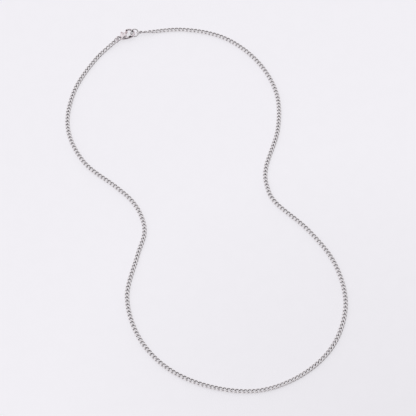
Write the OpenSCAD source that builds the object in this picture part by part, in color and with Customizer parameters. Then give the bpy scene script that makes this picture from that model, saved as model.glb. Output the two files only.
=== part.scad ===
// A curb chain necklace with a lobster clasp, lying in its loop on a flat surface.
// Millimetres. +Z is up, the surface is at z = 0 and the clasp is at the +Y end of the loop.
// Each half of the chain is one flat tube of the links' outer width and height, with a true link at its clasp end.

/* [Chain links] */
// Diameter of the wire that a link is bent from
link_wire = 0.6; // [0.5:0.05:0.65]
// Width of a link, across the chain
link_w = 2.15; // [2.1:0.05:2.6]
// Length of the hole in a link, which is what each link adds to the chain
link_pitch = 1.75; // [1.65:0.05:2.1]
// Twist of a link from one end to the other, which lets the chain lie flat
link_twist = 90; // [85:1:95]
// Depth that pressing takes off each face of the chain
link_press = 0.07; // [0.04:0.01:0.1]
// Roll of the first link at the catch ring, about the chain's length
right_roll = -70; // [-80:1:-65]

/* [Jump rings] */
// Diameter of the wire of both jump rings
ring_wire = 0.6; // [0.5:0.05:0.65]
// Outer diameter of the catch ring, which the claw holds
catch_od = 4; // [3.8:0.1:4.6]
// Outer diameter of the ring in the clasp's tail
tail_od = 3; // [2.9:0.1:3.4]
// Width of the slit where the ends of a jump ring meet
ring_slit = 0.04; // [0.02:0.01:0.1]

/* [Clasp body] */
// Thickness of the clasp over its housing
clasp_t = 2.8; // [2.6:0.1:3]
// Radius of the claw, to the middle of its arm
claw_r = 2.1; // [2:0.05:2.5]
// Diameter of the claw's arm
claw_d = 1; // [0.8:0.05:1.1]
// Angle that the claw reaches round to, from straight ahead
claw_reach = 112; // [104:1:122]
// Diameter of the knob at the claw's tip
claw_tip_d = 1.1; // [1.05:0.05:1.3]
// Radius of the curve of the clasp's back
back_r = 8; // [6:0.5:10]
// Angle that the back curves through
back_turn = 32; // [30:1:36]
// Diameter of the back
back_d = 1.3; // [1.1:0.05:1.5]
// Diameter of the housing's rounded cheeks
housing_d = 3.2; // [3:0.1:3.5]
// Angle from the start of the back to the housing
housing_turn = 28; // [26:1:30]
// Height of the housing's middle above the back's middle line
housing_rise = 1.2; // [1:0.1:1.4]
// Length of the neck, from the end of the back to the tail eye
neck_l = 0.7; // [0.5:0.1:1.5]
// Diameter of the neck where it runs into the tail eye's wire
neck_d = 0.6; // [0.5:0.05:0.65]
// Diameter of the hole in the tail eye
eye_hole = 1.4; // [1.3:0.05:1.7]
// Diameter of the tail eye's own wire
eye_wire = 0.7; // [0.6:0.05:0.8]

/* [Clasp lever] */
// Thickness of the lever
lever_t = 0.9; // [0.7:0.05:1.1]
// Diameter of the lever's hub, round the pin
hub_d = 1.3; // [1.1:0.1:1.5]
// Width of the lever's arm where it meets the claw's tip
arm_w = 0.64; // [0.5:0.02:0.8]
// Width of the thumb tab
tab_w = 0.6; // [0.5:0.05:0.8]
// Height of the thumb tab's end above the pin
tab_rise = 1.9; // [1.7:0.1:2.1]
// Distance that the thumb tab's end leans back from the pin
tab_lean = 0.2; // [0:0.1:0.6]
// Diameter of the pin that the lever turns on
pin_d = 0.6; // [0.5:0.05:0.7]
// Height of the pin above the housing's middle
pin_rise = 0.3; // [0.2:0.05:0.4]

/* [Clearances] */
// Running gap between the pin and the lever's bore
pin_gap = 0.03; // [0.02:0.01:0.08]
// Gap between the lever and each side of its slot
slot_gap = 0.07; // [0.05:0.01:0.12]
// Gap between the closed lever and the claw's tip
rest_gap = 0.05; // [0.03:0.01:0.1]
// Gap between a link and the wire that it hangs on
link_play = 0.1; // [0.06:0.01:0.15]
// Gap between the tail ring and the tail eye
tail_play = 0.17; // [0.12:0.01:0.2]
// Distance that the catch ring stands off the inside of the claw
catch_play = 0.6; // [0.4:0.05:0.8]
// Gap between the end of a chain tube and what it meets
tube_gap = 0.1; // [0.05:0.01:0.2]

/* [Hidden] */
$fn = 48;

// Where the clasp lies: the middle of its claw, and the way its nose points
CLASP_AT = [-8.2, 95];
CLASP_TURN = 6.5;
// The way the chain leaves each jump ring
RIGHT_LEAD = -9;
LEFT_LEAD = 211;
// The chain's route from the catch ring clockwise round to the tail ring, in plan
ROUTE = [
    [16, 91], [33, 81.5], [44, 65], [47.5, 45.5], [42.5, 26.5], [32, 9], [29.5, -1], [31, -10.5],
    [40.5, -27.5], [46.5, -46.5], [45, -66.5], [34.5, -83.5], [18, -93.5], [-1.5, -96], [-20.5, -89],
    [-35.5, -76], [-43.5, -58.5], [-43.5, -38.5], [-34.5, -20.5], [-28.5, -10], [-27.5, -1.5],
    [-29.5, 7.5], [-34.5, 16.5], [-45, 33], [-47.5, 52.5], [-40, 71], [-26.5, 85.5],
];
// Length over which the chain comes down from the height of the rings to the surface
DROP_LENGTH = 7;
// Pieces that each stretch of the route is measured in
ROUTE_STEPS = 12;
// Length to either side of a section that sets its direction
LOOK_ALONG = 0.5;
// Sides of the chain tube, and the widths of chain between its sections
TUBE_SIDES = 8;
TUBE_STEP = 3;
// Sides of an end link along its length and round its wire
LINK_SIDES = 16;
WIRE_SIDES = 6;

// How much wider a knuckle is than the bar that it ends
KNUCKLE = 1.03;
// Angle round the claw at which its foot runs on into the back
FOOT_ANGLE = -80;

// Height of the middle of the clasp, which lies on its cheek
mid_z = clasp_t / 2;

function heading(a) = [cos(a), sin(a)];
function unit(v) = v / norm(v);
function step_angle(i, steps) = 360 * i / steps;

// Clasp body, in its own plane with the middle of the claw at the origin
back_end = FOOT_ANGLE - back_turn;
back_mid = (claw_r - back_r) * heading(FOOT_ANGLE);
back_end_at = back_mid + back_r * heading(back_end);
eye_r = (eye_hole + eye_wire) / 2;
tail_way = back_end - 90;
neck_at = back_end_at + neck_l * heading(tail_way);
eye_at = neck_at + eye_r * heading(tail_way);
housing_at = back_mid + (back_r - housing_rise) * heading(FOOT_ANGLE - housing_turn);

// Chain link, lying along X with its middle at the origin
link_round = (link_w - link_wire) / 2;
link_reach = (link_pitch + link_wire + link_play / 2) / 2;
link_half = link_reach + link_wire / 2;

function link_turn(x) = -link_twist / 2 * x / link_reach;
function twisted(x, y) = [x, y * cos(link_turn(x)), y * sin(link_turn(x))];
function link_line(t) =
    twisted((link_reach - link_round) * sign(cos(t)) + link_round * cos(t), link_round * sin(t));

// Height of the chain where it lies flat
chain_h = link_wire + 2 * max([for (t = [0:5:355]) link_line(t)[2]]) - 2 * link_press;

// A point on the skin of a link's wire, at t along the link and at a round the wire
function link_skin(t, a) =
    let (
        at = link_line(t),
        along = unit(link_line(t + 1) - link_line(t - 1)),
        turn = link_turn(at[0]),
        out = unit(cross(along, [0, -sin(turn), cos(turn)])),
        point = at + link_wire / 2 * (cos(a) * out + sin(a) * cross(out, along))
    )
    [point[0], point[1], min(max(point[2], -chain_h / 2), chain_h / 2)];

// Jump rings: each rests on the surface with its middle at the clasp's middle height
catch_r = (catch_od - ring_wire) / 2;
tail_r = (tail_od - ring_wire) / 2;
catch_tilt = asin(min(1, (mid_z - ring_wire / 2) / catch_r));
tail_tilt = -asin(min(1, (mid_z - ring_wire / 2) / tail_r));

function on_clasp(p) = CLASP_AT + p[0] * heading(CLASP_TURN) + p[1] * heading(CLASP_TURN + 90);

// Middle of each ring, and of the first link beyond it
catch_out = claw_r - claw_d / 2 - catch_play - ring_wire / 2 + catch_r;
tail_out = eye_hole / 2 - tail_play - ring_wire / 2 + tail_r;
link_out = link_reach - link_wire / 2 - ring_wire / 2 - link_play;
catch_at = CLASP_AT + catch_out * heading(RIGHT_LEAD);
tail_at = on_clasp(eye_at) + tail_out * heading(LEFT_LEAD);
right_link_at = catch_at + (catch_r + link_out) * heading(RIGHT_LEAD);
left_link_at = tail_at + (tail_r + link_out) * heading(LEFT_LEAD);

// The route as a smooth curve, measured by its length from the right end link's middle
route_mid = concat([right_link_at], ROUTE, [left_link_at]);
route_last = len(route_mid) - 1;
first_span = norm(route_mid[1] - route_mid[0]);
last_span = norm(route_mid[route_last] - route_mid[route_last - 1]);
route_all = concat(
    [route_mid[1] - 2 * first_span * heading(RIGHT_LEAD)],
    route_mid,
    [route_mid[route_last - 1] - 2 * last_span * heading(LEFT_LEAD)]
);

function curve(a, b, c, d, t) =
    b + (c - a) * t / 2 + (2 * a - 5 * b + 4 * c - d) * t * t / 2 + (3 * b - a - 3 * c + d) * t * t * t / 2;
function route_point(i, t) = curve(route_all[i], route_all[i + 1], route_all[i + 2], route_all[i + 3], t);

route_line = concat(
    [for (i = [0:route_last - 1], k = [0:ROUTE_STEPS - 1]) route_point(i, k / ROUTE_STEPS)],
    [route_mid[route_last]]
);
route_end = len(route_line) - 1;
route_s = [
    for (
        i = 0, s = 0;
        i <= route_end;
        s = s + norm(route_line[min(i + 1, route_end)] - route_line[i]),
        i = i + 1
    ) s
];
route_length = route_s[route_end];
x_table = [for (i = [0:route_end]) [route_s[i], route_line[i][0]]];
y_table = [for (i = [0:route_end]) [route_s[i], route_line[i][1]]];

function plan_at(s) = [lookup(s, x_table), lookup(s, y_table)];
function near_end(s) = min(1, min(s, route_length - s) / DROP_LENGTH);
function drop(u) = u * u * (3 - 2 * u);
function height_at(s) = mid_z + (chain_h / 2 - mid_z) * drop(near_end(s));

// One section of the chain tube, across the route at s
function tube_section(s) =
    let (
        at = plan_at(s),
        along = unit(plan_at(s + LOOK_ALONG) - plan_at(s - LOOK_ALONG)),
        corner = 1 / cos(180 / TUBE_SIDES)
    )
    [
        for (k = [0:TUBE_SIDES - 1])
            let (
                a = step_angle(k + 0.5, TUBE_SIDES),
                side = corner * link_w / 2 * cos(a),
                rise = corner * chain_h / 2 * sin(a)
            )
            [at[0] + side * along[1], at[1] - side * along[0], height_at(s) + rise]
    ];

// Lever: its pin, the end of its arm under the claw's tip, and the end of its tab
tip_at = claw_r * heading(claw_reach);
pin_at = housing_at + [0, pin_rise];
arm_end = [tip_at[0], tip_at[1] - claw_tip_d / 2 - rest_gap - arm_w / 2];
tab_root = (pin_at + arm_end) / 2;
tab_end = pin_at + [-tab_lean, tab_rise];

// The slot clears the hub
slot_floor = pin_at[1] - hub_d / 2 - slot_gap;
slot_left = pin_at[0] - hub_d / 2 - slot_gap;

// A closed loop of sections, each a ring of as many points
module skin(sections, closed) {
    sides = len(sections[0]);
    rows = len(sections);
    polyhedron(
        points = [for (section = sections) each section],
        faces = concat(
            [
                for (i = [0:rows - (closed ? 1 : 2)], k = [0:sides - 1])
                    let (j = (i + 1) % rows, n = (k + 1) % sides)
                    each [
                        [i * sides + k, i * sides + n, j * sides + n],
                        [i * sides + k, j * sides + n, j * sides + k],
                    ]
            ],
            closed ? [] : [
                [for (k = [sides - 1:-1:0]) k],
                [for (k = [0:sides - 1]) (rows - 1) * sides + k]
            ]
        ),
        convexity = 6
    );
}

// Half of the chain, from one length along the route to another
module chain_tube(from, to) {
    rows = ceil((to - from) / (TUBE_STEP * link_w));
    skin([for (i = [0:rows]) tube_section(from + (to - from) * i / rows)], closed = false);
}

// The link that a jump ring holds, with its length along the way the chain leaves
module end_link(at, lead, roll) {
    translate([at[0], at[1], mid_z]) rotate([roll, 0, lead])
        skin(
            [
                for (i = [0:LINK_SIDES - 1])
                    [
                        for (k = [0:WIRE_SIDES - 1])
                            link_skin(step_angle(i, LINK_SIDES), step_angle(k, WIRE_SIDES))
                    ]
            ],
            closed = true
        );
}

// A ring of round wire, tilted about the way the chain leaves, with its slit at the top
module jump_ring(at, lead, tilt, r) {
    slit_angle = ring_slit / r * 180 / PI;
    translate([at[0], at[1], mid_z]) rotate([tilt, 0, lead]) rotate([0, 0, 90 * sign(tilt) + slit_angle / 2])
        rotate_extrude(angle = 360 - slit_angle) translate([r, 0]) circle(d = ring_wire);
}

// A bar of round section, bent about a point of the clasp's middle plane
module bent_bar(middle, r, from, to, d) {
    translate([middle[0], middle[1], 0]) rotate([0, 0, from])
        rotate_extrude(angle = to - from) translate([r, 0]) circle(d = d);
}

// A ball at a point of the clasp's middle plane, with its poles on the bar that it ends
module ball(p, way, d) {
    translate([p[0], p[1], 0]) rotate([0, 90, way]) sphere(d = d);
}

// A flat bar between two points, with round ends
module flat_bar(p, p_w, q, q_w) {
    side = unit([p[1] - q[1], q[0] - p[0]]);
    polygon([p + side * p_w / 2, p - side * p_w / 2, q - side * q_w / 2, q + side * q_w / 2]);
    translate(p) circle(d = p_w);
    translate(q) circle(d = q_w);
}

module place_clasp() {
    translate([CLASP_AT[0], CLASP_AT[1], mid_z]) rotate([0, 0, CLASP_TURN]) children();
}

module chain_right() {
    color("lightgray") chain_tube(link_half + tube_gap, (route_length - tube_gap) / 2);
}

module chain_left() {
    color("silver") chain_tube((route_length + tube_gap) / 2, route_length - link_half - tube_gap);
}

module end_link_right() {
    color("gainsboro") end_link(right_link_at, RIGHT_LEAD, right_roll);
}

module end_link_left() {
    color("gainsboro") end_link(left_link_at, LEFT_LEAD, 0);
}

module catch_ring() {
    color("silver") jump_ring(catch_at, RIGHT_LEAD, catch_tilt, catch_r);
}

module tail_ring() {
    color("silver") jump_ring(tail_at, LEFT_LEAD, tail_tilt, tail_r);
}

module claw() {
    bent_bar([0, 0], claw_r, FOOT_ANGLE, claw_reach, claw_d);
    ball(tip_at, claw_reach + 90, claw_tip_d);
    ball(claw_r * heading(FOOT_ANGLE), FOOT_ANGLE + 90, KNUCKLE * back_d);
}

module back() {
    bent_bar(back_mid, back_r, back_end, FOOT_ANGLE, back_d);
    ball(back_end_at, tail_way, KNUCKLE * back_d);
    translate([back_end_at[0], back_end_at[1], 0]) rotate([0, 90, tail_way])
        cylinder(h = neck_l, d1 = back_d, d2 = neck_d);
    bent_bar(eye_at, eye_r, 0, 360, eye_wire);
}

module housing() {
    difference() {
        translate([housing_at[0], housing_at[1], 0]) intersection() {
            sphere(d = housing_d);
            cube([2 * housing_d, 2 * housing_d, clasp_t], center = true);
        }
        translate([slot_left, slot_floor, -lever_t / 2 - slot_gap])
            cube([2 * housing_d, 2 * housing_d, lever_t + 2 * slot_gap]);
        translate([pin_at[0], pin_at[1], -clasp_t])
            cylinder(h = 2 * clasp_t, d = pin_d + 2 * pin_gap);
    }
}

module clasp_body() {
    color("silver") place_clasp() {
        claw();
        back();
        housing();
    }
}

module clasp_pin() {
    color("gray") place_clasp() translate([pin_at[0], pin_at[1], 0])
        cylinder(h = clasp_t - 2 * slot_gap, d = pin_d, center = true);
}

module clasp_lever() {
    color("lightgray") place_clasp() linear_extrude(height = lever_t, center = true) difference() {
        union() {
            flat_bar(pin_at, hub_d, arm_end, arm_w);
            flat_bar(tab_root, tab_w, tab_end, tab_w);
        }
        translate(pin_at) circle(d = pin_d + 2 * pin_gap);
    }
}

chain_right();
chain_left();
end_link_right();
end_link_left();
catch_ring();
tail_ring();
clasp_body();
clasp_pin();
clasp_lever();
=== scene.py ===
"""A fine curb chain necklace with a lobster clasp, laid in its loop on a pale lit table.

Shapes are worked out in millimetres, and each finished mesh is turned to metres.
"""
import math

import bpy
import numpy as np
from mathutils import Matrix, Vector


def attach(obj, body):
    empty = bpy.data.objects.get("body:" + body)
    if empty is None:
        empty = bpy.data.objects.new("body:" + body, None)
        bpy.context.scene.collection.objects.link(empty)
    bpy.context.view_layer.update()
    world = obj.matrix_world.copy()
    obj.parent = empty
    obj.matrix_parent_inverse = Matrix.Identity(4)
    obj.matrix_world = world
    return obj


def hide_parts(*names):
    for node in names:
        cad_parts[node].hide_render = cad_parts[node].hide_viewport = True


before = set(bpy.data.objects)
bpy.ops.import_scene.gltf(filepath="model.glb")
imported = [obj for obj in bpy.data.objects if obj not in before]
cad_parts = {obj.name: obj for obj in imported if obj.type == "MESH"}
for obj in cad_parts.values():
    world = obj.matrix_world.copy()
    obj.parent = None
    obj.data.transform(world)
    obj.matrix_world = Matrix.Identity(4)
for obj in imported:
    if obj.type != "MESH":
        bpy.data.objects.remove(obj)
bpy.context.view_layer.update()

MM = 0.001
NECKLACE = "necklace"
LEVER = "lever"

# Camera: a long lens looks down at the necklace, turned a little to its left
LENS = 184.4
SENSOR = 36
CAMERA_AZIMUTH = math.radians(-15.5)
CAMERA_ELEVATION = math.radians(58.44)
CAMERA_DISTANCE = 928.9
CAMERA_TARGET = Vector((1.58, -4.84, 0.65))


def place_camera():
    """The camera, which sees the necklace as the photograph does."""
    data = bpy.data.cameras.new("camera")
    data.lens = LENS
    data.sensor_width = SENSOR
    back = Vector((
        math.sin(CAMERA_AZIMUTH) * math.cos(CAMERA_ELEVATION),
        -math.cos(CAMERA_AZIMUTH) * math.cos(CAMERA_ELEVATION),
        math.sin(CAMERA_ELEVATION),
    ))
    camera = bpy.data.objects.new("camera", data)
    camera.location = (CAMERA_TARGET + CAMERA_DISTANCE * back) * MM
    camera.rotation_euler = back.to_track_quat("Z", "Y").to_euler()
    bpy.context.scene.collection.objects.link(camera)
    bpy.context.scene.camera = camera


place_camera()

# Chain links, in millimetres and degrees
LINK_WIRE = 0.6
LINK_W = 2.15
LINK_PITCH = 1.75
LINK_TWIST = 90
LINK_PLAY = 0.1
LINK_PRESS = 0.07
RIGHT_ROLL = -70
# The links beyond the catch ring lie down one after another, each turned this much from the last
ROLL_STEP = 14

# Jump rings
RING_WIRE = 0.6
CATCH_OD = 4
TAIL_OD = 3
RING_SLIT = 0.04

# Clasp body
CLASP_T = 2.8
CLAW_R = 2.1
CLAW_D = 1
CLAW_REACH = 112
CLAW_TIP_D = 1.1
FOOT_ANGLE = -80
BACK_R = 8
BACK_TURN = 32
BACK_D = 1.3
HOUSING_D = 3.2
HOUSING_TURN = 28
HOUSING_RISE = 1.2
NECK_L = 0.7
NECK_D = 0.6
EYE_HOLE = 1.4
EYE_WIRE = 0.7

# Clasp lever and its pin
LEVER_T = 0.9
HUB_D = 1.3
ARM_W = 0.64
TAB_W = 0.6
TAB_RISE = 1.9
TAB_LEAN = 0.2
PIN_D = 0.6
PIN_RISE = 0.3

# Clearances
PIN_GAP = 0.03
SLOT_GAP = 0.07
REST_GAP = 0.05
TAIL_PLAY = 0.17
CATCH_PLAY = 0.6

# Where the clasp lies, and the way that the chain leaves each ring
CLASP_AT = np.array((-8.2, 95))
CLASP_TURN = 6.5
RIGHT_LEAD = -9
LEFT_LEAD = 211
# The chain's route from the catch ring clockwise round to the tail ring, in plan
ROUTE = np.array((
    (16, 91), (33, 81.5), (44, 65), (47.5, 45.5), (42.5, 26.5), (32, 9), (29.5, -1), (31, -10.5),
    (40.5, -27.5), (46.5, -46.5), (45, -66.5), (34.5, -83.5), (18, -93.5), (-1.5, -96), (-20.5, -89),
    (-35.5, -76), (-43.5, -58.5), (-43.5, -38.5), (-34.5, -20.5), (-28.5, -10), (-27.5, -1.5),
    (-29.5, 7.5), (-34.5, 16.5), (-45, 33), (-47.5, 52.5), (-40, 71), (-26.5, 85.5),
))
# Length over which the chain comes down from the height of the rings' middles to the table
DROP_LENGTH = 7

MID_Z = CLASP_T / 2
UP = np.array((0, 0, 1))


def heading(degrees):
    """The flat unit vector that points this way, or one for each of many ways."""
    return np.stack((np.cos(np.radians(degrees)), np.sin(np.radians(degrees))), axis=-1)


def unit(v):
    """Vectors along the last axis, each brought to length one."""
    return v / np.linalg.norm(v, axis=-1, keepdims=True)


def all_round(count):
    """This many flat unit vectors, evenly all the way round."""
    return heading(np.arange(count) * 360 / count)


def running_length(line):
    """The length along a line to each of its points."""
    return np.concatenate(([0], np.cumsum(np.linalg.norm(np.diff(line, axis=0), axis=1))))


def soft_step(value, low, high):
    """A share that rises smoothly from 0 to 1 between two values."""
    t = np.clip((value - low) / (high - low), 0, 1)
    return t**2 * (3 - 2 * t)


# Materials

def colour(code):
    """An sRGB hex colour as linear red, green, blue and alpha."""
    parts = [int(code[i:i + 2], 16) / 255 for i in (0, 2, 4)]
    return [c / 12.92 if c <= 0.04045 else ((c + 0.055) / 1.055) ** 2.4 for c in parts] + [1]


def add(tree, kind, inputs=(), output=0, **settings):
    """Add a node with its settings, each input set to a value or linked, and give one of its outputs."""
    made = tree.nodes.new(kind)
    for name, value in settings.items():
        setattr(made, name, value)
    for socket, value in dict(inputs).items():
        if isinstance(value, bpy.types.NodeSocket):
            tree.links.new(value, made.inputs[socket])
        else:
            made.inputs[socket].default_value = value
    return made.outputs[output] if made.outputs else None


def new_material(name):
    """A material with an empty tree, which the caller fills."""
    material = bpy.data.materials.new(name)
    material.use_nodes = True
    material.node_tree.nodes.clear()
    return material, material.node_tree


def per_metre(size_mm):
    """A pattern's scale, in repeats a metre, from the real size of one repeat."""
    return 1 / (size_mm * MM)


# Sockets of a mix of colours: the share, the two colours, and the mixed colour that it gives
SHARE, LOW, HIGH, MIXED = 0, 6, 7, 2
# Tumbling marks are a few hundredths of a millimetre wide, too fine to show: drawn ten times as coarse
TUMBLING_MARK = 0.3
# Buffing leaves faint waves about as wide as the wheel's threads
BUFFING_WAVE = 0.8
# The opal sheet's own clouding is a few millimetres across, and so faint that it hardly shows
SHEET_CLOUD = 6
# Height of the marks and waves, and how much rougher the marks make a wire
MARK_HEIGHT = 0.02
MARK_ROUGHNESS = 0.08
# How much rougher than its buffed face the casting's skin is
SKIN_ROUGHNESS = 0.4
# The table's glow, and the corner where it is less, because the lamp stands away from it: the corner's place,
# how far from it the dimness starts to fade and ends, and the share of the glow that is left
TABLE_GLOW = 0.745
DIM_CORNER = Vector((46, -141, 0))
DIM_REACH = (20, 150)
DIM_SHARE = 0.9


def bare_metal(tree, tint, rough, marks, strength):
    """The surface of a bare metal with this colour and roughness, marked by small bumps."""
    bump = add(tree, "ShaderNodeBump", {"Height": marks, "Strength": strength, "Distance": MARK_HEIGHT * MM})
    metal = {"Base Color": tint, "Metallic": 1, "Roughness": rough, "Normal": bump}
    surface = add(tree, "ShaderNodeBsdfPrincipled", metal)
    add(tree, "ShaderNodeOutputMaterial", {"Surface": surface})


def drawn_steel_wire(name, inner_shade_tint, inner_rough):
    """Stainless steel wire, drawn and then tumbled.

    The inner side of each bend is tinted a darker grey, which is painted shade where the links lie over one
    another: strong in a finished chain, next to none on a ring that was tumbled loose. That side is also
    rougher, where tumbling hardly reaches it.
    """
    material, tree = new_material(name)
    place = add(tree, "ShaderNodeTexCoord", output="Object")
    facing = add(tree, "ShaderNodeAttribute", output="Fac", attribute_name="facing_out")
    tumbling = {"Vector": place, "Scale": per_metre(TUMBLING_MARK), "Detail": 3}
    marks = add(tree, "ShaderNodeTexNoise", tumbling, "Fac")
    bright = add(tree, "ShaderNodeMapRange", {"Value": facing, "From Min": -0.9, "From Max": 0.2})
    # The darker inner tint is painted shade on the inner side of each bend
    tints = {SHARE: bright, LOW: colour(inner_shade_tint), HIGH: colour("e5e2e3")}
    tint = add(tree, "ShaderNodeMix", tints, MIXED, data_type="RGBA")
    skin_rough = add(tree, "ShaderNodeMapRange", {"Value": bright, "To Min": inner_rough, "To Max": 0.2})
    rougher = {0: marks, 1: MARK_ROUGHNESS, 2: skin_rough}
    rough = add(tree, "ShaderNodeMath", rougher, operation="MULTIPLY_ADD")
    bare_metal(tree, tint, rough, marks, strength=0.15)
    return material


def cast_steel():
    """Stainless steel, lost-wax cast and buffed.

    Buffing leaves a near mirror, which shows the room in bright and black bands. The wheel doesn't reach the
    hollows: they keep the casting's rougher skin, and are tinted near black as painted shade.
    """
    material, tree = new_material("cast_stainless_buffed")
    place = add(tree, "ShaderNodeTexCoord", output="Object")
    skin_and_shade_share = add(tree, "ShaderNodeAttribute", output="Fac", attribute_name="cast_skin_and_painted_shade")
    buffing = {"Vector": place, "Scale": per_metre(BUFFING_WAVE), "Detail": 2}
    waves = add(tree, "ShaderNodeTexNoise", buffing, "Fac")
    # Near black where the share is full: painted shade in the hollows and cuts, with the casting's skin
    tints = {SHARE: skin_and_shade_share, LOW: colour("dbd4d7"), HIGH: colour("2c2426")}
    tint = add(tree, "ShaderNodeMix", tints, MIXED, data_type="RGBA")
    roughs = {"Value": waves, "From Min": 0.3, "From Max": 0.7, "To Min": 0.05, "To Max": 0.12}
    buffed_rough = add(tree, "ShaderNodeMapRange", roughs)
    rougher = {0: skin_and_shade_share, 1: SKIN_ROUGHNESS, 2: buffed_rough}
    rough = add(tree, "ShaderNodeMath", rougher, operation="MULTIPLY_ADD")
    bare_metal(tree, tint, rough, waves, strength=0.2)
    return material


def stamped_steel():
    """Stainless strip, stamped and tumbled: a warmer, softer grey beside the mirror of the casting."""
    material, tree = new_material("stamped_stainless_tumbled")
    place = add(tree, "ShaderNodeTexCoord", output="Object")
    tumbling = {"Vector": place, "Scale": per_metre(TUMBLING_MARK), "Detail": 3}
    marks = add(tree, "ShaderNodeTexNoise", tumbling, "Fac")
    tints = {SHARE: marks, LOW: colour("a99b9d"), HIGH: colour("bfb1b4")}
    tint = add(tree, "ShaderNodeMix", tints, MIXED, data_type="RGBA")
    roughs = {"Value": marks, "From Min": 0.3, "From Max": 0.7, "To Min": 0.2, "To Max": 0.3}
    rough = add(tree, "ShaderNodeMapRange", roughs)
    bare_metal(tree, tint, rough, marks, strength=0.2)
    return material


def opal_table():
    """Opal acrylic sheet, matt sanded and lit from below: it hides the lamp, and shadows on it are pale."""
    material, tree = new_material("opal_acrylic_matt")
    place = add(tree, "ShaderNodeTexCoord", output="Object")
    clouding = {"Vector": place, "Scale": per_metre(SHEET_CLOUD), "Detail": 2}
    cloud = add(tree, "ShaderNodeTexNoise", clouding, "Fac")
    tints = {SHARE: cloud, LOW: colour("edecf0"), HIGH: colour("f0eff3")}
    tint = add(tree, "ShaderNodeMix", tints, MIXED, data_type="RGBA")
    away = add(tree, "ShaderNodeVectorMath", {0: place, 1: DIM_CORNER * MM}, "Value", operation="DISTANCE")
    glows = {
        "Value": away,
        "From Min": DIM_REACH[0] * MM,
        "From Max": DIM_REACH[1] * MM,
        "To Min": DIM_SHARE * TABLE_GLOW,
        "To Max": TABLE_GLOW,
    }
    glow = add(tree, "ShaderNodeMapRange", glows)
    sheet = {
        "Base Color": colour("949296"),
        "Roughness": 0.85,
        "Specular IOR Level": 0.2,
        "Emission Color": tint,
        "Emission Strength": glow,
    }
    surface = add(tree, "ShaderNodeBsdfPrincipled", sheet)
    add(tree, "ShaderNodeOutputMaterial", {"Surface": surface})
    return material


# The chain's inner tint is a darker grey of painted shade; the loose rings' is hardly darker
CHAIN_STEEL = drawn_steel_wire("drawn_stainless_wire_tumbled_in_chain", "9b9798", 0.42)
RING_STEEL = drawn_steel_wire("drawn_stainless_wire_tumbled_loose", "e0ddde", 0.24)
CAST_STEEL = cast_steel()
STAMPED_STEEL = stamped_steel()


# Meshes

# Edges sharper than this are shaded as edges
SHARP_EDGE = math.radians(60)


def mesh_piece(name, points, faces):
    """An object in millimetres."""
    mesh = bpy.data.meshes.new(name)
    mesh.from_pydata(np.asarray(points).tolist(), [], [list(face) for face in faces])
    mesh.update()
    piece = bpy.data.objects.new(name, mesh)
    bpy.context.scene.collection.objects.link(piece)
    return piece


def hand_over(piece, node, body, material):
    """Turn a finished piece to metres and let it stand for its CAD node."""
    piece.data.transform(Matrix.Scale(MM, 4))
    piece.data.materials.append(material)
    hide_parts(node)
    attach(piece, body)


def mark(piece, name, domain, values):
    """Store a number for each point or each face corner of a piece, which its material reads."""
    stored = piece.data.attributes.new(name, "FLOAT", domain)
    stored.data.foreach_set("value", values.astype(np.float32))


def skin(rings, closed):
    """The points and faces of a tube through rings of points, an array of ring, point and xyz."""
    count, sides = rings.shape[:2]
    ring, side = np.meshgrid(np.arange(count if closed else count - 1), np.arange(sides), indexing="ij")
    ring, side = ring.ravel(), side.ravel()
    after, beside = (ring + 1) % count, (side + 1) % sides
    corners = [ring * sides + side, ring * sides + beside, after * sides + beside, after * sides + side]
    faces = np.stack(corners, axis=1).tolist()
    if not closed:
        faces += [list(range(sides))[::-1], list(range((count - 1) * sides, count * sides))]
    return rings.reshape(-1, 3), faces


def rolled(points, roll):
    """Points turned about X."""
    c, s = math.cos(math.radians(roll)), math.sin(math.radians(roll))
    return points @ np.array(((1, 0, 0), (0, c, s), (0, -s, c)))


# The chain's route

def curve(a, b, c, d, t):
    """A smooth curve from b to c, whose ends point along a to c and b to d."""
    return b + (c - a) * t / 2 + (2 * a - 5 * b + 4 * c - d) * t**2 / 2 + (3 * b - a - 3 * c + d) * t**3 / 2


# Link, lying along X with its middle at the origin
LINK_ROUND = (LINK_W - LINK_WIRE) / 2
LINK_REACH = (LINK_PITCH + LINK_WIRE + LINK_PLAY / 2) / 2
LINK_END = (LINK_REACH - LINK_ROUND, 0) + LINK_ROUND * heading(np.arange(-90, 91))
LINK_FLAT = np.vstack((LINK_END, -LINK_END, LINK_END[:1]))


def link_turn(x):
    """The twist of a link at this distance along it, in radians."""
    return np.radians(-LINK_TWIST / 2 * x / LINK_REACH)


def link_line(share):
    """The middle of a link's wire at these shares of the way round it: a flat oval, twisted."""
    s = running_length(LINK_FLAT)
    x, y = [np.interp(share % 1, s / s[-1], LINK_FLAT[:, axis]) for axis in (0, 1)]
    return np.stack((x, y * np.cos(link_turn(x)), y * np.sin(link_turn(x))), axis=-1)


# Height of a link over its wire's highest and lowest points, less what the pressing takes off both faces
CHAIN_H = LINK_WIRE + 2 * link_line(np.arange(0, 1, 0.001))[:, 2].max() - 2 * LINK_PRESS

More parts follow.
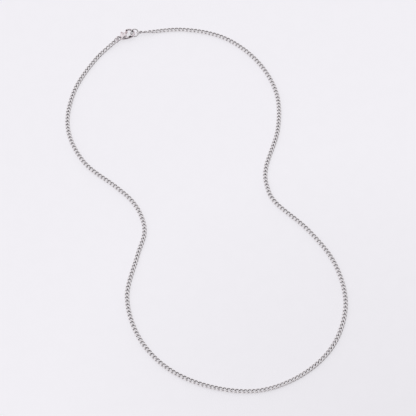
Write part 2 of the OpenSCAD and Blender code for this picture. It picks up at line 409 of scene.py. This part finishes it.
# Jump rings and clasp, placed as in the frame
CATCH_R = (CATCH_OD - RING_WIRE) / 2
TAIL_R = (TAIL_OD - RING_WIRE) / 2
EYE_R = (EYE_HOLE + EYE_WIRE) / 2
BACK_END = FOOT_ANGLE - BACK_TURN
BACK_MID = (CLAW_R - BACK_R) * heading(FOOT_ANGLE)
BACK_END_AT = BACK_MID + BACK_R * heading(BACK_END)
NECK_AT = BACK_END_AT + NECK_L * heading(BACK_END - 90)
EYE_AT = NECK_AT + EYE_R * heading(BACK_END - 90)
HOUSING_AT = BACK_MID + (BACK_R - HOUSING_RISE) * heading(FOOT_ANGLE - HOUSING_TURN)
TIP_AT = CLAW_R * heading(CLAW_REACH)
PIN_AT = HOUSING_AT + (0, PIN_RISE)
ARM_END = TIP_AT - (0, CLAW_TIP_D / 2 + REST_GAP + ARM_W / 2)
TAB_END = PIN_AT + (-TAB_LEAN, TAB_RISE)


def on_clasp(p):
    """A point of the clasp's own plane, in plan."""
    return CLASP_AT + p[0] * heading(CLASP_TURN) + p[1] * heading(CLASP_TURN + 90)


CATCH_OUT = CLAW_R - CLAW_D / 2 - CATCH_PLAY - RING_WIRE / 2 + CATCH_R
TAIL_OUT = EYE_HOLE / 2 - TAIL_PLAY - RING_WIRE / 2 + TAIL_R
LINK_OUT = LINK_REACH - LINK_WIRE / 2 - RING_WIRE / 2 - LINK_PLAY
CATCH_AT = CLASP_AT + CATCH_OUT * heading(RIGHT_LEAD)
TAIL_AT = on_clasp(EYE_AT) + TAIL_OUT * heading(LEFT_LEAD)
RIGHT_LINK_AT = CATCH_AT + (CATCH_R + LINK_OUT) * heading(RIGHT_LEAD)
LEFT_LINK_AT = TAIL_AT + (TAIL_R + LINK_OUT) * heading(LEFT_LEAD)


class Route:
    """The chain's line by its length from the middle of the right end link."""

    # Points in each stretch from one given point to the next
    STEPS = 60

    def __init__(self):
        line = np.vstack((RIGHT_LINK_AT, ROUTE, LEFT_LINK_AT))
        # A point past each end, placed so that the curve leaves the end link the way the link points
        first = line[1] - 2 * np.linalg.norm(line[1] - line[0]) * heading(RIGHT_LEAD)
        last = line[-2] - 2 * np.linalg.norm(line[-1] - line[-2]) * heading(LEFT_LEAD)
        line = np.vstack((first, line, last))
        t = np.arange(self.STEPS)[:, None] / self.STEPS
        stretches = [curve(*line[i:i + 4], t) for i in range(len(line) - 3)]
        self.line = np.vstack((*stretches, LEFT_LINK_AT))
        self.s = running_length(self.line)
        self.length = self.s[-1]

    def at(self, s):
        """Points of the route's middle line, with their height."""
        drop = soft_step(np.minimum(s, self.length - s), 0, DROP_LENGTH)
        height = MID_Z + (CHAIN_H / 2 - MID_Z) * drop
        x, y = [np.interp(s, self.s, self.line[:, axis]) for axis in (0, 1)]
        return np.stack((x, y, height), axis=-1)


# Links

LINK_SIDES = 40
WIRE_SIDES = 12
# Roundness of the edge of the flats that pressing leaves on a link
PRESS_SOFTNESS = 0.03
# Links don't all lie quite level: waves of their roll, each with its size in degrees, its links and its start
WANDER = ((1.6, 23, 0.4), (1.4, 11, 2.1), (1, 57, 4.4))
# Links at the catch ring and at the tail ring that don't wander, and links over which the wander grows
STEADY_LINKS = (5, 2)
GROWING_LINKS = 12


def link_line_directions():
    """For rings round a link's wire: their middles, and which way is out of the link and which is up."""
    share = np.arange(LINK_SIDES) / LINK_SIDES
    middle = link_line(share)
    # The way along the wire, from points a tenth of the way to the rings before and after
    near = 0.1 / LINK_SIDES
    along = unit(link_line(share + near) - link_line(share - near))
    turn = link_turn(middle[:, 0])
    level = np.stack((np.zeros(LINK_SIDES), -np.sin(turn), np.cos(turn)), axis=-1)
    out = unit(np.cross(along, level))
    return middle, out, np.cross(out, along)


def pressed(height):
    """Heights in a link, with what stands past the pressed faces brought down softly to them."""
    past = (np.abs(height) - CHAIN_H / 2) / PRESS_SOFTNESS
    return np.sign(height) * (CHAIN_H / 2 - PRESS_SOFTNESS * np.logaddexp(0, -past))


def make_link():
    """Rings of points round one link's wire, and how far each point faces out of the link, -1 to 1."""
    middle, out, up = link_line_directions()
    facing, rising = all_round(WIRE_SIDES).T
    rings = middle[:, None] + LINK_WIRE / 2 * (facing[:, None] * out[:, None] + rising[:, None] * up[:, None])
    rings[..., 2] = pressed(rings[..., 2])
    return rings, np.tile(facing, LINK_SIDES)


def chain_links(name, places, along, rolls):
    """One piece of links, each at its own place, turned to its own way along the chain."""
    rings, facing = make_link()
    points, faces = skin(rings, closed=True)
    placed = []
    for at, ahead, roll in zip(places, along, rolls):
        side = unit(np.array((-ahead[1], ahead[0], 0)))
        link = rolled(points, roll) @ np.stack((ahead, side, np.cross(ahead, side))) + at
        # A rolled link rests on its edge, so it lies a little higher
        link[:, 2] -= min(link[:, 2].min(), 0)
        placed.append(link)
    starts = len(points) * np.arange(len(placed))
    all_faces = (np.array(faces)[None] + starts[:, None, None]).reshape(-1, 4)
    piece = mesh_piece(name, np.vstack(placed), all_faces)
    mark(piece, "facing_out", "POINT", np.tile(facing, len(placed)))
    piece.data.shade_smooth()
    return piece


def make_chain():
    """The two halves of the chain and the two links at its ends."""
    route = Route()
    spans = round(route.length / LINK_PITCH)
    s = np.arange(spans + 1) * route.length / spans
    places = route.at(s)
    look = LINK_PITCH / 2
    along = unit(route.at(np.minimum(s + look, route.length)) - route.at(np.maximum(s - look, 0)))
    number = np.arange(spans + 1)
    wander = sum(size * np.sin(2 * np.pi * number / wave + start) for size, wave, start in WANDER)
    past_steady = np.minimum(number - STEADY_LINKS[0], spans - STEADY_LINKS[1] - number)
    wander_share = np.clip(past_steady / GROWING_LINKS, 0, 1)
    rolls = np.minimum(RIGHT_ROLL + ROLL_STEP * number, 0) + wander * wander_share
    along[0] = (*heading(RIGHT_LEAD), 0)
    along[-1] = (*heading(LEFT_LEAD), 0)
    half = (spans + 1) // 2
    runs = {
        "curb_link_at_catch": (slice(0, 1), "end_link_right"),
        "curb_chain_right": (slice(1, half), "chain_right"),
        "curb_chain_left": (slice(half, spans), "chain_left"),
        "curb_link_at_tail": (slice(spans, spans + 1), "end_link_left"),
    }
    for name, (run, node) in runs.items():
        piece = chain_links(name, places[run], along[run], rolls[run])
        hand_over(piece, node, NECKLACE, CHAIN_STEEL)


make_chain()


# Jump rings

RING_STEPS = 72
RING_SIDES = 16


def jump_ring(name, node, at, lead, r, lean_way):
    """A ring of round wire that leans on the table, with its sheared ends meeting at its top."""
    slit = math.degrees(RING_SLIT / r)
    out = heading(90 * lean_way + np.linspace(slit / 2, 360 - slit / 2, RING_STEPS))
    facing, rising = all_round(RING_SIDES).T
    reach = r + RING_WIRE / 2 * facing
    height = np.broadcast_to(RING_WIRE / 2 * rising, (RING_STEPS, RING_SIDES))
    rings = np.concatenate((reach[None, :, None] * out[:, None], height[..., None]), axis=-1)
    points, faces = skin(rings, closed=False)
    lean = lean_way * math.degrees(math.asin((MID_Z - RING_WIRE / 2) / r))
    frame_axes = np.array(((*heading(lead), 0), (*heading(lead + 90), 0), UP))
    ring = mesh_piece(name, rolled(points, lean) @ frame_axes + (*at, MID_Z), faces)
    mark(ring, "facing_out", "POINT", np.tile(facing, RING_STEPS))
    ring.data.shade_smooth()
    ring.data.set_sharp_from_angle(angle=SHARP_EDGE)
    hand_over(ring, node, NECKLACE, RING_STEEL)


jump_ring("jump_ring_catch", "catch_ring", CATCH_AT, RIGHT_LEAD, CATCH_R, 1)
jump_ring("jump_ring_tail", "tail_ring", TAIL_AT, LEFT_LEAD, TAIL_R, -1)


# Clasp, in its own plane with the middle of the claw at the origin

# Sides of a round bar, and points all the way round a disc
BAR_SIDES = 24
ROUND_STEPS = 48
# Sizes of the grid that the castings are fused on, and how often they are smoothed over it
BODY_GRID = 0.04
BODY_SMOOTHING = 16
LEVER_GRID = 0.03
LEVER_SMOOTHING = 6
# How full the housing's cheeks are towards their edge: 2 for a dome, and more the flatter they are
CHEEK_FULLNESS = 3
# Height of the domes that peening leaves on the rivet's ends, and the angles of their curve from the rim up
PIN_DOME = 0.12
PIN_DOME_CURVE = np.radians(np.linspace(0, 85, 8))
# The slot's inner corner, and the dimple in the knob at the claw's tip
SLOT_CORNER = PIN_AT - HUB_D / 2 - SLOT_GAP
DIMPLE_D = 0.7
DIMPLE_WAY = np.array((0.2, -0.3, 1))
DIMPLE_AT = np.array((*TIP_AT, 0)) + CLAW_TIP_D / 2 * unit(DIMPLE_WAY)
# Hollows tinted near black, painted shade together with the casting's rougher skin, on a bent bar. Each has
# the bend's middle and radius, half the bar's width, the angles round the bend where the dark tint starts, is
# full, is still full and ends, and how far
# in on the bar it starts and is full: -1 is the bar's outermost line and 1 its innermost
SKIN_AND_SHADE_HOLLOWS = {
    "foot of the claw": ((0, 0), CLAW_R, CLAW_D / 2, (-124, -114, -94, -84), (-1, -0.6)),
    "side of the claw": ((0, 0), CLAW_R, CLAW_D / 2, (-70, -50, 50, 65), (0.1, 0.6)),
    "tail eye": (EYE_AT, EYE_R, EYE_WIRE / 2, (-90, -60, 80, 110), (0, 0.5)),
}
# A distance within which a point counts as lying on a surface
NEAR = 0.002


def bar(middle, widths, closed=False):
    """A round bar along a line of the clasp's plane, as wide at each point as given."""
    if closed:
        ahead = unit(np.roll(middle, -1, axis=0) - np.roll(middle, 1, axis=0))
    else:
        ahead = unit(np.gradient(middle, axis=0))
    side = np.stack((-ahead[:, 1], ahead[:, 0]), axis=-1)
    sideways, rising = all_round(BAR_SIDES).T
    radius = np.broadcast_to(widths, len(middle))[:, None] / 2
    flat = middle[:, None] + (radius * sideways)[..., None] * side[:, None]
    return skin(np.concatenate((flat, (radius * rising)[..., None]), axis=-1), closed)


def ball(at, width):
    """A ball, as a short bar whose width swells and shrinks."""
    a = np.linspace(-90, 90, ROUND_STEPS // 2)
    return bar(at + width / 2 * np.sin(np.radians(a))[:, None] * heading(0), width * np.cos(np.radians(a)))


def round_cutter(at, width):
    """A ball off the clasp's plane."""
    points, faces = ball(at[:2], width)
    return points + (0, 0, at[2]), faces


def plate(outline, thickness):
    """A flat plate with this outline, half to each side of the clasp's plane."""
    count = len(outline)
    faces = [[i, (i + 1) % count, count + (i + 1) % count, count + i] for i in range(count)]
    low, high = [np.column_stack((outline, np.full(count, z))) for z in (-thickness / 2, thickness / 2)]
    return np.vstack((low, high)), faces + [list(range(count))[::-1], list(range(count, 2 * count))]


def disc(at, width, thickness):
    """A round plate."""
    return plate(at + width / 2 * all_round(ROUND_STEPS), thickness)


def flat_bar(p, p_width, q, q_width):
    """The plates that make up a flat bar between two points, with round ends."""
    ahead = unit(q - p)
    side = np.array((-ahead[1], ahead[0])) / 2
    outline = np.array((p + side * p_width, p - side * p_width, q - side * q_width, q + side * q_width))
    return [plate(outline, LEVER_T), disc(p, p_width, LEVER_T), disc(q, q_width, LEVER_T)]


def worked(piece):
    """The piece with its modifiers worked into its mesh."""
    shown = piece.evaluated_get(bpy.context.evaluated_depsgraph_get())
    mesh = bpy.data.meshes.new_from_object(shown)
    piece.modifiers.clear()
    piece.data = mesh
    return piece


def fused(name, parts, grid, smoothing):
    """One casting from the parts that run into each other, its creases and edges softened."""
    starts = np.cumsum([0] + [len(points) for points, _ in parts])
    faces = [[start + corner for corner in face] for start, (_, part) in zip(starts, parts) for face in part]
    piece = mesh_piece(name, np.vstack([points for points, _ in parts]), faces)
    fuse = piece.modifiers.new("fuse", "REMESH")
    fuse.mode = "VOXEL"
    fuse.voxel_size = grid
    soften = piece.modifiers.new("soften", "SMOOTH")
    soften.iterations = smoothing
    return worked(piece)


def cut(piece, points, faces):
    """Cut a shape out of a piece, with true edges."""
    cutter = mesh_piece("cutter", points, faces)
    hole = piece.modifiers.new("cut", "BOOLEAN")
    hole.operation = "DIFFERENCE"
    hole.solver = "EXACT"
    hole.object = cutter
    worked(piece)
    bpy.data.objects.remove(cutter)


def onto_clasp(piece, node, body, material):
    """Put a finished clasp piece in its place in the frame."""
    turn = Matrix.Rotation(math.radians(CLASP_TURN), 4, "Z")
    piece.data.transform(Matrix.Translation((*CLASP_AT, MID_Z)) @ turn)
    piece.data.shade_smooth()
    piece.data.set_sharp_from_angle(angle=SHARP_EDGE)
    hand_over(piece, node, body, material)


def in_cuts(places):
    """Whether each of these places of the clasp lies in its slot, its pin hole or its dimple."""
    plan, height = places[:, :2], np.abs(places[:, 2])
    # The slot's mouth is buffed like the outside and gets no painted shade
    deep = np.linalg.norm(plan - HOUSING_AT, axis=1) < HOUSING_D / 2 - 2 * SLOT_GAP
    in_slot = deep & (plan > SLOT_CORNER - NEAR).all(axis=1) & (height < LEVER_T / 2 + SLOT_GAP + NEAR)
    in_bore = np.linalg.norm(plan - PIN_AT, axis=1) < PIN_D / 2 + PIN_GAP + NEAR
    return in_slot | in_bore | (np.linalg.norm(places - DIMPLE_AT, axis=1) < DIMPLE_D / 2 + NEAR)


def in_hollows(points):
    """How much near-black tint, painted shade with the casting's skin, each point of the clasp gets on the
    inner sides of its bends.
    """
    share = np.zeros(len(points))
    for middle, r, half_width, turn, depth in SKIN_AND_SHADE_HOLLOWS.values():
        away = points[:, :2] - middle
        from_middle = np.linalg.norm(away, axis=1)
        around = np.degrees(np.arctan2(away[:, 1], away[:, 0]))
        window = soft_step(around, *turn[:2]) * (1 - soft_step(around, *turn[2:]))
        inward = soft_step((r - from_middle) / half_width, *depth)
        # What lies further off than this is another part of the clasp
        on_bar = np.abs(from_middle - r) < 1.5 * half_width
        share = np.maximum(share, window * inward * on_bar)
    return share


def read_all(items, name, kind, width=1):
    """One property of all of a mesh's items, as an array."""
    values = np.empty(width * len(items), dtype=kind)
    items.foreach_get(name, values)
    return values.reshape(-1, width) if width > 1 else values


def paint_skin_and_shade(body):
    """Mark how much near-black tint each corner of the clasp's faces gets: painted shade in the hollows and
    cuts, with the casting's skin.
    """
    mesh = body.data
    hollow = in_hollows(read_all(mesh.vertices, "co", np.float32, 3))
    in_cut = in_cuts(read_all(mesh.polygons, "center", np.float32, 3))
    corners = read_all(mesh.polygons, "loop_total", np.int32)
    share = np.maximum(hollow[read_all(mesh.loops, "vertex_index", np.int32)], np.repeat(in_cut, corners))
    mark(body, "cast_skin_and_painted_shade", "CORNER", share)


def clasp_bar():
    """Claw, back and neck, in one bar from the claw's tip to the tail eye."""
    claw = CLAW_R * heading(np.linspace(CLAW_REACH, FOOT_ANGLE, ROUND_STEPS))
    back = BACK_MID + BACK_R * heading(np.linspace(FOOT_ANGLE, BACK_END, ROUND_STEPS // 2))
    neck = np.linspace(BACK_END_AT, NECK_AT, 6)
    line = np.vstack((claw, back[1:], neck[1:]))
    s = running_length(line)
    foot, back_end = s[len(claw) - 1], s[-len(neck)]
    stations = (0, foot / 2, foot, back_end, s[-1])
    return bar(line, np.interp(s, stations, (CLAW_D, CLAW_D, BACK_D, BACK_D, NECK_D)))


def housing():
    """The housing that the lever sits in: a ball with its two cheeks flattened."""
    points, faces = ball(HOUSING_AT, HOUSING_D)
    out = np.minimum(np.linalg.norm(points[:, :2] - HOUSING_AT, axis=1) / (HOUSING_D / 2), 1)
    cheek = CLASP_T / 2 * (1 - out**CHEEK_FULLNESS) ** (1 / CHEEK_FULLNESS)
    points[:, 2] = np.sign(points[:, 2]) * cheek
    return points, faces


def make_clasp_body():
    """The casting of bar, knob, tail eye and housing, with its slot, its pin hole and its dimple."""
    tail_eye = bar(EYE_AT + EYE_R * all_round(ROUND_STEPS), EYE_WIRE, closed=True)
    parts = [clasp_bar(), ball(TIP_AT, CLAW_TIP_D), tail_eye, housing()]
    body = fused("clasp_body_cast", parts, BODY_GRID, BODY_SMOOTHING)
    left, low = SLOT_CORNER
    right, high = HOUSING_AT + HOUSING_D / 2 + SLOT_GAP
    slot = np.array(((left, low), (right, low), (right, high), (left, high)))
    cut(body, *plate(slot, LEVER_T + 2 * SLOT_GAP))
    cut(body, *disc(PIN_AT, PIN_D + 2 * PIN_GAP, 2 * CLASP_T))
    cut(body, *round_cutter(DIMPLE_AT, DIMPLE_D))
    # Near-black painted shade, with the casting's rougher skin, in the hollows, slot, pin hole and dimple
    paint_skin_and_shade(body)
    onto_clasp(body, "clasp_body", NECKLACE, CAST_STEEL)


def make_lever():
    """The stamped lever: hub, arm to the claw's tip and thumb tab."""
    parts = flat_bar(PIN_AT, HUB_D, ARM_END, ARM_W) + flat_bar((PIN_AT + ARM_END) / 2, TAB_W, TAB_END, TAB_W)
    lever = fused("lever_stamped", parts, LEVER_GRID, LEVER_SMOOTHING)
    cut(lever, *disc(PIN_AT, PIN_D + 2 * PIN_GAP, 2 * LEVER_T))
    onto_clasp(lever, "clasp_lever", LEVER, STAMPED_STEEL)


def make_pin():
    """The rivet that the lever turns on, with its ends domed by the peening."""
    rise = CLASP_T / 2 - SLOT_GAP - PIN_DOME * (1 - np.sin(PIN_DOME_CURVE))
    top = np.column_stack((PIN_D / 2 * np.cos(PIN_DOME_CURVE), rise))
    profile = np.vstack((top[::-1] * (1, -1), top))
    flat = PIN_AT + profile[:, :1, None] * all_round(BAR_SIDES)[None]
    height = np.broadcast_to(profile[:, 1:, None], (len(profile), BAR_SIDES, 1))
    points, faces = skin(np.concatenate((flat, height), axis=-1), closed=False)
    onto_clasp(mesh_piece("rivet_peened", points, faces), "clasp_pin", NECKLACE, CAST_STEEL)


make_clasp_body()
make_lever()
make_pin()


# Stage

TABLE_SIZE = 6000


def lay_table():
    """The pale table that the necklace lies on."""
    reach = TABLE_SIZE / 2
    corners = [(-reach, -reach, 0), (reach, -reach, 0), (reach, reach, 0), (-reach, reach, 0)]
    table = mesh_piece("table", corners, [(0, 1, 2, 3)])
    table.data.transform(Matrix.Scale(MM, 4))
    table.data.materials.append(opal_table())


# The tent as seen from the necklace. Each part has its middle's azimuth, from +X, and elevation, how far it
# reaches round that and how soft its edge is, all in degrees, and its brightness against the walls'
TENT_PARTS = {
    "roof": (0, 90, 20, 10, 0.85),
    "thinner light on the right": (345, 45, 28, 14, 0.55),
    "open front, with a dark room past it": (283, 25, 42, 8, 0.02),
}
WALL_LIGHT = 1.12


def light_tent():
    """A photographer's tent of white cloth, its walls brighter than its roof, open towards the camera."""
    world = bpy.data.worlds.new("light_tent")
    bpy.context.scene.world = world
    world.use_nodes = True
    tree = world.node_tree
    tree.nodes.clear()
    way = add(tree, "ShaderNodeTexCoord", output="Generated")
    light = 1
    for azimuth, elevation, reach, edge, part_light in TENT_PARTS.values():
        flat = math.cos(math.radians(elevation)) * heading(azimuth)
        middle = (*flat, math.sin(math.radians(elevation)))
        near = add(tree, "ShaderNodeVectorMath", {0: way, 1: middle}, "Value", operation="DOT_PRODUCT")
        outer, inner = [math.cos(math.radians(a)) for a in (reach + edge, reach - edge)]
        share = add(tree, "ShaderNodeMapRange", {"Value": near, "From Min": outer, "From Max": inner})
        light = add(tree, "ShaderNodeMix", {"Factor": share, "A": light, "B": part_light})
    strength = add(tree, "ShaderNodeMath", {0: light, 1: WALL_LIGHT}, operation="MULTIPLY")
    cloth = add(tree, "ShaderNodeBackground", {"Color": colour("fffdff"), "Strength": strength})
    add(tree, "ShaderNodeOutputWorld", {"Surface": cloth})


lay_table()
light_tent()
bpy.context.scene.view_settings.view_transform = "Standard"
